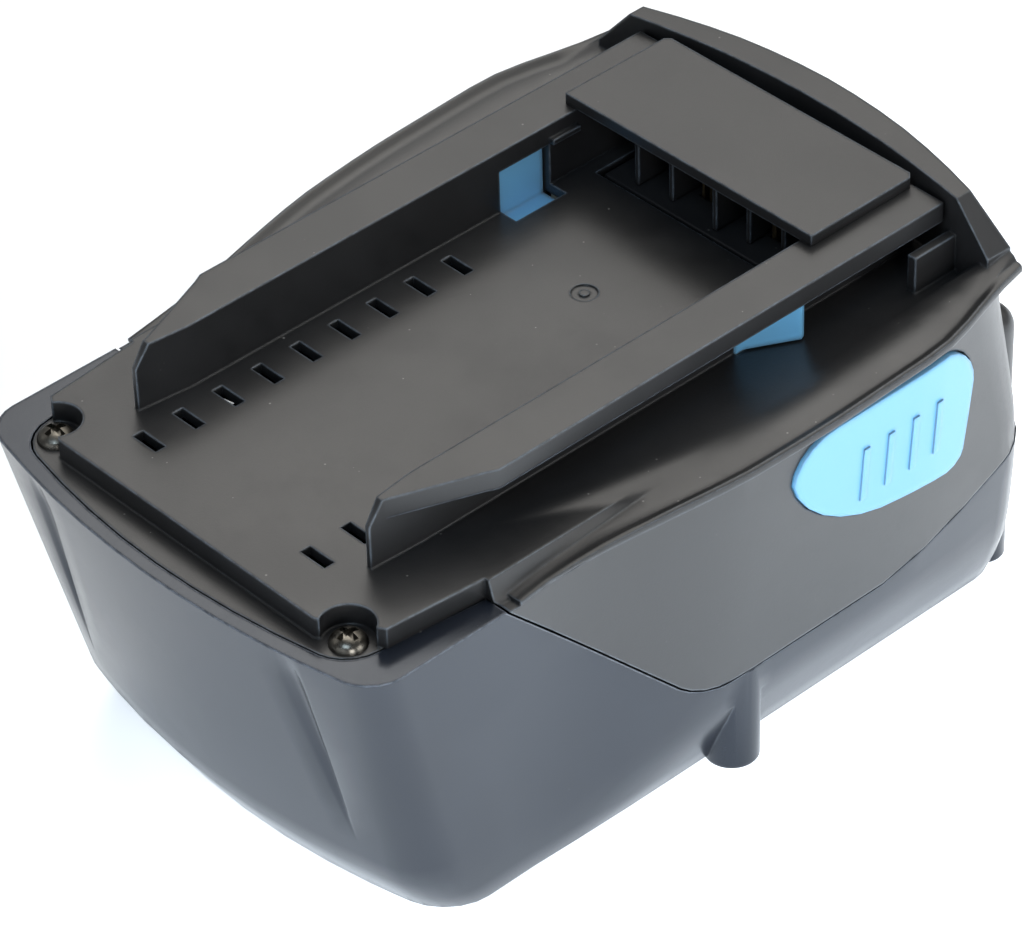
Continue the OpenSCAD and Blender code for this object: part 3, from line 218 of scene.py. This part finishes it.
def edge_highlight_shade_and_wear_group():
    """Masks of the outer edges, broken up a little, and of the inner corners: plastics use the edge mask
    for painted highlights and metals for worn bright edges, and the corner mask is painted shade.
    """
    t, given, out = new_group(
        "edge_highlight_shade_and_wear",
        {"Width": EDGE_ROUND, "Break Scale": BREAK_SCALE, "Strength": 1.0, "Corner Reach": CORNER_REACH},
        {"Mask": "NodeSocketFloat", "Corner": "NodeSocketFloat", "Round Normal": "NodeSocketVector"},
    )
    # Ambient occlusion finds the inner corners, which get painted shade, and keeps the edge mask off them.
    sky = t.add("ShaderNodeAmbientOcclusion", {"samples": SKY_SAMPLES}, Distance=given["Corner Reach"])
    open_air = sky.outputs["AO"]
    outer_edge = t.span(open_air, *OUTER_EDGE_SPAN)
    inner_corner = t.span(open_air, *INNER_CORNER_SPAN)
    # The bevel normal bends away from the face near an edge; this bend makes the edge mask, a painted
    # highlight on plastics.
    rounded = t.add("ShaderNodeBevel", {"samples": BEVEL_SAMPLES}, Radius=given["Width"]).outputs[0]
    true_normal = t.add("ShaderNodeNewGeometry").outputs["Normal"]
    dot = t.add("ShaderNodeVectorMath", {"operation": "DOT_PRODUCT"}, **{"0": rounded, "1": true_normal})
    bend = t.span(dot.outputs["Value"], *BEND_SPAN)
    broken = t.span(t.noise(t.place(), given["Break Scale"], *BREAKS), *BREAK_SPAN)
    mask = t.math("MULTIPLY", t.math("MULTIPLY", bend, broken), given["Strength"], clamp=True)
    t.links.new(t.math("MULTIPLY", mask, outer_edge), out["Mask"])
    t.links.new(inner_corner, out["Corner"])
    t.links.new(rounded, out["Round Normal"])
    return t.tree


def dust_group():
    """Scattered specks of dust on faces that look up, and a few hairline marks."""
    t, given, out = new_group(
        "dust_and_marks",
        {"Speck Scale": SPECK_SCALE, "Amount": SPECKED_SHARE, "Mark Scale": MARK_SCALE},
        {"Specks": "NodeSocketFloat", "Marks": "NodeSocketFloat"},
    )
    place = t.place()
    cells = t.add("ShaderNodeTexVoronoi", {"feature": "F1"}, Vector=place, Scale=given["Speck Scale"])
    pick = t.add("ShaderNodeSeparateColor", Color=cells.outputs["Color"]).outputs[0]
    chosen = t.math("LESS_THAN", pick, given["Amount"])
    size = t.math("MULTIPLY", pick, SPECK_GROWTH)
    small = t.span(cells.outputs["Distance"], t.math("ADD", size, LEAST_SPECK), SPECK_SOFTNESS)
    normal = t.add("ShaderNodeNewGeometry").outputs["Normal"]
    upward = t.add("ShaderNodeSeparateXYZ", Vector=normal).outputs[2]
    lying = t.span(upward, *FACING_UP_SPAN)
    specks = t.math("MULTIPLY", t.math("MULTIPLY", chosen, small), lying, clamp=True)
    waves = t.noise(place, given["Mark Scale"], *MARKS)
    off_crest = t.math("ABSOLUTE", t.math("SUBTRACT", waves, 0.5))
    marks = t.span(off_crest, *MARK_WIDTH_SPAN)
    t.links.new(specks, out["Specks"])
    t.links.new(t.math("MULTIPLY", marks, t.span(waves, *MARK_SIDE_SPAN)), out["Marks"])
    return t.tree


GRAIN = moulded_grain_group()
EDGE_HIGHLIGHT_SHADE_AND_WEAR = edge_highlight_shade_and_wear_group()
DUST = dust_group()

# Finishes

BLACK = (0.0, 0.0, 0.0, 1)
DUST_GREY = (0.42, 0.41, 0.39, 1)
CLOUD_SHARE = 0.35
GRAIN_TINT_SHARE = 0.18
MARK_ROUGHNESS = 0.03
CLOUD_ROUGHNESS_SHARES = (0.93, 1.08)
# Strength of the painted glow of bright plastics.
PAINTED_GLOW_STRENGTH = 0.5
METAL_GRAIN_SCALE = 900.0
METAL_CLOUD_SCALE = 380.0
METAL_EDGE_ROUND = 0.25 * MM
METAL_GRAIN_DEPTH = 0.02 * MM
METAL_BUMP = 0.6
TARNISH_SHARE = 0.5
TARNISH_ROUGHNESS_SHARE = 1.7


def place_group(t, group, **values):
    """Places a group in a material with its own values, and returns the group's outputs."""
    node = t.add("ShaderNodeGroup", {"node_tree": group})
    for name, value in values.items():
        node.inputs[name.replace("_", " ")].default_value = value
    return node.outputs


def start_material(name):
    """A new material, its node tree and its Principled shader."""
    material = bpy.data.materials.new(name)
    material.use_nodes = True
    t = Tree(material.node_tree)
    shader = t.nodes["Principled BSDF"]
    return material, t, shader


def moulded_plastic(
    name, base, light, roughness, grain_depth, grain_scale=GRAIN_SCALE, edge=0.5, edge_highlight=None,
    edge_round=EDGE_ROUND, corner=0.5, dust=0.5, specular=0.5, tint=(1, 1, 1, 1), glow=None,
):
    """Plastic with mould grain, cloudy shine, painted highlights on its outer edges, painted shade in its
    inner corners and a little dust.

    The shares edge, corner and dust say how much of each effect shows, and glow is a colour that the
    plastic gives off as painted light, though it is no lamp.
    """
    material, t, shader = start_material(name)
    grain = place_group(t, GRAIN, Grain_Scale=grain_scale)
    wear_and_painted_light = place_group(t, EDGE_HIGHLIGHT_SHADE_AND_WEAR, Width=edge_round, Strength=edge)
    dirt = place_group(t, DUST)
    cloudy = t.mix(t.math("MULTIPLY", grain["Clouds"], CLOUD_SHARE), base, light)
    grained = t.mix(t.math("MULTIPLY", grain["Grain"], GRAIN_TINT_SHARE), cloudy, light)
    # Painted highlight: outer edges lightened towards the edge highlight colour.
    painted_edge_highlight = t.mix(wear_and_painted_light["Mask"], grained, edge_highlight or light)
    # Painted shade: inner corners darkened towards black.
    painted_corner_shade = t.mix(t.math("MULTIPLY", wear_and_painted_light["Corner"], corner), painted_edge_highlight, BLACK)
    dusty = t.mix(t.math("MULTIPLY", dirt["Specks"], dust), painted_corner_shade, DUST_GREY)
    t.feed(shader, "Base Color", dusty)
    smooth, dull = (roughness * share for share in CLOUD_ROUGHNESS_SHARES)
    clouded = t.span(grain["Clouds"], 0.0, 1.0, smooth, dull)
    marked = t.math("ADD", clouded, t.math("MULTIPLY", dirt["Marks"], MARK_ROUGHNESS), clamp=True)
    t.feed(shader, "Roughness", marked)
    bump = t.add("ShaderNodeBump", Strength=1.0, Distance=grain_depth, Height=grain["Height"])
    t.links.new(wear_and_painted_light["Round Normal"], bump.inputs["Normal"])
    t.feed(shader, "Normal", bump.outputs[0])
    t.feed(shader, "Specular IOR Level", specular)
    t.feed(shader, "Specular Tint", tint)
    # Painted light: the glow colour is given off as light, though the plastic is no lamp.
    if glow:
        t.feed(shader, "Emission Color", glow)
        t.feed(shader, "Emission Strength", PAINTED_GLOW_STRENGTH)
    return material


def metal(name, base, dark, roughness):
    """Plated metal with dull patches and bright worn edges."""
    material, t, shader = start_material(name)
    grain = place_group(t, GRAIN, Grain_Scale=METAL_GRAIN_SCALE, Cloud_Scale=METAL_CLOUD_SCALE)
    wear_and_painted_light = place_group(t, EDGE_HIGHLIGHT_SHADE_AND_WEAR, Width=METAL_EDGE_ROUND)
    tarnished = t.mix(t.math("MULTIPLY", grain["Clouds"], TARNISH_SHARE), base, dark)
    t.feed(shader, "Base Color", t.mix(wear_and_painted_light["Mask"], tarnished, base))
    dull = min(1.0, roughness * TARNISH_ROUGHNESS_SHARE)
    t.feed(shader, "Roughness", t.span(grain["Clouds"], 0.0, 1.0, roughness, dull))
    bump = t.add("ShaderNodeBump", Strength=METAL_BUMP, Distance=METAL_GRAIN_DEPTH, Height=grain["Height"])
    t.feed(shader, "Normal", bump.outputs[0])
    t.feed(shader, "Metallic", 1.0)
    return material


def outer_finishes():
    """Finishes of what shows from outside, by material slot of the record."""
    # In these finishes, edge and the edge highlight colours give painted highlights on edges, and corner
    # gives painted shade in inner corners.
    return {
        "cover_plastic": moulded_plastic(
            "cover_charcoal", base=(0.0115, 0.0117, 0.0125, 1), light=(0.024, 0.0244, 0.026, 1),
            roughness=0.35, grain_depth=0.02 * MM, edge=0.6, edge_highlight=(0.22, 0.27, 0.33, 1),
            corner=0.8, specular=0.52, tint=(0.97, 0.985, 1.0, 1),
        ),
        "tub_plastic": moulded_plastic(
            "tub_black", base=(0.008, 0.010, 0.015, 1), light=(0.014, 0.018, 0.027, 1),
            roughness=0.2, grain_depth=0.008 * MM, edge=0.9, edge_highlight=(0.22, 0.25, 0.30, 1),
            dust=0.25, specular=0.42, tint=(0.80, 0.88, 1.0, 1),
        ),
        # The latch plastic gives off a faint painted glow and has painted highlights on its edges.
        "latch_plastic": moulded_plastic(
            "latch_blue", base=(0.085, 0.33, 0.60, 1), light=(0.10, 0.36, 0.63, 1),
            roughness=0.32, grain_depth=0.02 * MM, edge=0.3, edge_highlight=(0.30, 0.70, 0.88, 1),
            edge_round=1.4 * MM, corner=0.0, dust=0.15, specular=0.7, glow=(0.05, 0.06, 0.06, 1),
        ),
        "screw_steel": metal("screw_nickel", (0.15, 0.142, 0.125, 1), (0.045, 0.042, 0.036, 1), 0.26),
    }


def inner_finishes():
    """Finishes of what lies in the bay and inside the housing, by material slot of the record."""
    return {
        "spring_steel": metal("spring_wire", (0.55, 0.55, 0.54, 1), (0.30, 0.30, 0.30, 1), 0.25),
        # Brass and nickel far darker than the bare metals: painted shade, so the contacts and strips stay
        # dark in the bay and behind the vent slots.
        "contact_brass": metal("contact_brass", (0.22, 0.17, 0.10, 1), (0.12, 0.09, 0.05, 1), 0.32),
        "nickel_strip": metal("nickel_strip", (0.05, 0.05, 0.047, 1), (0.03, 0.03, 0.028, 1), 0.7),
        "cell_sleeve": moulded_plastic(
            "cell_sleeve", base=(0.03, 0.24, 0.17, 1), light=(0.04, 0.30, 0.22, 1),
            roughness=0.3, grain_depth=0.008 * MM, grain_scale=2400.0, edge=0.2, dust=0.1,
        ),
        "inner_plastic": moulded_plastic(
            "inner_plastic", base=(0.010, 0.0105, 0.012, 1), light=(0.018, 0.019, 0.021, 1),
            roughness=0.45, grain_depth=0.015 * MM, dust=0.2,
        ),
        "insulating_paper": moulded_plastic(
            "fibre_paper", base=(0.05, 0.047, 0.035, 1), light=(0.07, 0.066, 0.05, 1),
            roughness=0.85, grain_depth=0.03 * MM, grain_scale=1500.0, edge=0.1, dust=0.0,
        ),
        "board_green": moulded_plastic(
            "board_green", base=(0.012, 0.10, 0.035, 1), light=(0.02, 0.14, 0.05, 1),
            roughness=0.22, grain_depth=0.006 * MM, grain_scale=1800.0, edge=0.3, dust=0.2,
        ),
        "component_black": moulded_plastic(
            "component_black", base=(0.02, 0.02, 0.022, 1), light=(0.035, 0.035, 0.037, 1),
            roughness=0.55, grain_depth=0.01 * MM, dust=0.2,
        ),
    }


FINISHES = outer_finishes() | inner_finishes()

# Shading of the CAD solids

FACET_ANGLE = math.radians(40)
WELD_DISTANCE = 0.002 * MM


def soften_group():
    """Joins the facets of a solid and shades them smooth up to the facet angle."""
    tree = bpy.data.node_groups.new("soften", "GeometryNodeTree")
    tree.interface.new_socket("Geometry", in_out="INPUT", socket_type="NodeSocketGeometry")
    tree.interface.new_socket("Geometry", in_out="OUTPUT", socket_type="NodeSocketGeometry")
    nodes = tree.nodes
    given = nodes.new("NodeGroupInput")
    done = nodes.new("NodeGroupOutput")
    merge = nodes.new("GeometryNodeMergeByDistance")
    merge.inputs["Distance"].default_value = WELD_DISTANCE
    faces = nodes.new("GeometryNodeSetShadeSmooth")
    faces.domain = "FACE"
    angle = nodes.new("GeometryNodeInputMeshEdgeAngle")
    flat = nodes.new("FunctionNodeCompare")
    flat.data_type = "FLOAT"
    flat.operation = "LESS_THAN"
    flat.inputs[1].default_value = FACET_ANGLE
    edges = nodes.new("GeometryNodeSetShadeSmooth")
    edges.domain = "EDGE"
    tree.links.new(given.outputs[0], merge.inputs["Geometry"])
    tree.links.new(merge.outputs["Geometry"], faces.inputs["Geometry"])
    tree.links.new(faces.outputs["Geometry"], edges.inputs["Geometry"])
    tree.links.new(angle.outputs["Unsigned Angle"], flat.inputs[0])
    tree.links.new(flat.outputs[0], edges.inputs["Shade Smooth"])
    tree.links.new(edges.outputs["Geometry"], done.inputs[0])
    return tree


def soften(node, group):
    """Gives the node the shading of its group in place of the flat shading it was loaded with."""
    if node.data.has_custom_normals:
        node.data.attributes.remove(node.data.attributes["custom_normal"])
    modifier = node.modifiers.new("soften", "NODES")
    modifier.node_group = group


def dress_solids():
    """Every CAD node gets the finish of its slot and soft shading."""
    slots = {part["node"]: part["material_slot"] for part in frame["record"]["subparts"]}
    group = soften_group()
    for name, node in NODES.items():
        node.data.materials.clear()
        node.data.materials.append(FINISHES[slots[name]])
        soften(node, group)


# Latch springs, wound at the length of their nodes; here they do not shorten as the latches are pressed

SPRING_WIRE_D = 0.5 * MM
SPRING_CURLS = 6
SPRING_RINGS = 24
SPRING_SIDES = 10
WIRE_END_ROUND = 0.15 * SPRING_WIRE_D


def spring_rings(coil_r, length):
    """Rings of points round the wire, from one end of a coil along X to the other."""
    lead = length / (math.tau * SPRING_CURLS)
    rings = []
    for i in range(SPRING_CURLS * SPRING_RINGS + 1):
        turn = math.tau * i / SPRING_RINGS
        out = Vector((0, math.cos(turn), math.sin(turn)))
        run = Vector((lead, -coil_r * math.sin(turn), coil_r * math.cos(turn)))
        over = out.cross(run).normalized()
        centre = Vector((lead * turn - length / 2, 0, 0)) + out * coil_r
        wire_turns = [math.tau * k / SPRING_SIDES for k in range(SPRING_SIDES)]
        ring = [out * math.cos(a) + over * math.sin(a) for a in wire_turns]
        rings.append([centre + spot * SPRING_WIRE_D / 2 for spot in ring])
    return rings


def spring_mesh(name, middle, outer, coil_r, length):
    """A coil of round wire with rounded ends; outer is 1 on the right and -1 on the left."""
    mesh = bmesh.new()
    rings = [
        [mesh.verts.new(middle + Vector((spot.x * outer, spot.y, spot.z))) for spot in ring]
        for ring in spring_rings(coil_r, length)
    ]
    for first, second in zip(rings, rings[1:]):
        for k in range(SPRING_SIDES):
            mesh.faces.new((first[k - 1], first[k], second[k], second[k - 1]))
    ends = [mesh.faces.new(rings[0]), mesh.faces.new(rings[-1])]
    end_edges = [edge for end in ends for edge in end.edges]
    bmesh.ops.bevel(mesh, geom=end_edges, offset=WIRE_END_ROUND, segments=2, affect="EDGES", profile=0.5)
    bmesh.ops.recalc_face_normals(mesh, faces=mesh.faces)
    for face in mesh.faces:
        face.smooth = True
    data = bpy.data.meshes.new(name)
    mesh.to_mesh(data)
    mesh.free()
    return data


def wind_spring(side):
    """Winds the spring of one side in the place of its node and hangs it on the housing."""
    node_name = f"latch_spring_{side}"
    low, high = (Vector(corner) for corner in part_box(node_name))
    middle = (low + high) / 2
    outer = 1 if middle.x > 0 else -1
    coil_r = (high.z - low.z - SPRING_WIRE_D) / 2
    name = f"wound_spring_{side}"
    data = spring_mesh(name, middle, outer, coil_r, high.x - low.x - SPRING_WIRE_D)
    data.materials.append(FINISHES["spring_steel"])
    coil = bpy.data.objects.new(name, data)
    bpy.context.scene.collection.objects.link(coil)
    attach(coil, "housing")
    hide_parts(node_name)
    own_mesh(coil)


# Studio: a light table that is dimmer on the left, and soft boxes round it

FLOOR_W = 6.0
FLOOR_DROP = 0.2 * MM
FLOOR_TONES = ((0.86, 0.87, 0.88, 1), (0.88, 0.885, 0.89, 1))
FLOOR_TONE_SCALE = 30.0
FLOOR_TONE = (2.0, 0.5)
FLOOR_TONE_SPAN = (0.3, 0.7)
FLOOR_ROUGHNESS = 0.6
FLOOR_GLOW = (0.84, 0.92, 1.0, 1)
FLOOR_GLOW_SPAN = (-0.11, 0.1, 0.15, 1.7)
AIR_COLOUR = (0.95, 0.97, 1.0, 1)
AIR_STRENGTH = 0.16
AIM = Vector((0, 0, 30)) * MM

# Name, place, width and height, power in watts, colour
SOFTBOXES = (
    ("top_softbox", (-0.25, 0.45, 1.1), (1.1, 1.1), 11, (1.0, 0.955, 0.89)),
    ("back_softbox", (-0.85, 0.74, 0.85), (0.9, 0.7), 2.1, (1.0, 0.98, 0.95)),
    ("left_softbox", (-1.1, -0.5, 0.8), (0.9, 0.7), 1.2, (1.0, 0.985, 0.96)),
    ("right_softbox", (0.95, -0.45, 0.3), (0.35, 0.5), 3.6, (1.0, 0.985, 0.98)),
    ("front_fill", (0.2, -1.4, 0.5), (1.2, 0.5), 2, (0.92, 0.96, 1.0)),
    ("over_camera", (0.4, -0.75, 1.1), (0.6, 0.4), 5, (0.66, 0.84, 1.0)),
    ("right_rear", (1.0, 0.35, 0.35), (0.5, 0.5), 3, (1.0, 0.99, 0.97)),
    ("shoulder_softbox", (0.45, 0.9, 0.75), (0.5, 0.5), 1.6, (1.0, 0.96, 0.90)),
)


def add_floor():
    """A pale floor that glows; its glow is what the tub's sides reflect."""
    half = FLOOR_W / 2
    corners = [(-half, -half, 0), (half, -half, 0), (half, half, 0), (-half, half, 0)]
    mesh = bpy.data.meshes.new("studio_floor")
    mesh.from_pydata(corners, [], [(0, 1, 2, 3)])
    floor = bpy.data.objects.new("studio_floor", mesh)
    floor.location.z = -FLOOR_DROP
    bpy.context.scene.collection.objects.link(floor)
    material, t, shader = start_material("floor_white")
    tone = t.span(t.noise(t.place(), FLOOR_TONE_SCALE, *FLOOR_TONE), *FLOOR_TONE_SPAN)
    t.feed(shader, "Base Color", t.mix(tone, *FLOOR_TONES))
    t.feed(shader, "Roughness", FLOOR_ROUGHNESS)
    t.feed(shader, "Emission Color", FLOOR_GLOW)
    across = t.add("ShaderNodeSeparateXYZ", Vector=t.place()).outputs[0]
    t.feed(shader, "Emission Strength", t.span(across, *FLOOR_GLOW_SPAN))
    mesh.materials.append(material)


def add_softbox(name, place, size, power, colour):
    """A soft rectangular light that looks at the middle of the pack."""
    data = bpy.data.lights.new(name, "AREA")
    data.shape = "RECTANGLE"
    data.size, data.size_y = size
    data.energy = power
    data.color = colour
    light = bpy.data.objects.new(name, data)
    light.location = place
    light.rotation_euler = (AIM - Vector(place)).to_track_quat("-Z", "Y").to_euler()
    bpy.context.scene.collection.objects.link(light)


def add_studio():
    """The room's own faint light and the soft boxes."""
    world = bpy.data.worlds.new("studio_air")
    bpy.context.scene.world = world
    world.use_nodes = True
    background = world.node_tree.nodes["Background"]
    background.inputs["Color"].default_value = AIR_COLOUR
    background.inputs["Strength"].default_value = AIR_STRENGTH
    for softbox in SOFTBOXES:
        add_softbox(*softbox)
    view = bpy.context.scene.view_settings
    view.view_transform = "Standard"
    view.look = "None"


add_camera()
add_floor()
add_studio()
dress_solids()
wind_spring("right")
wind_spring("left")
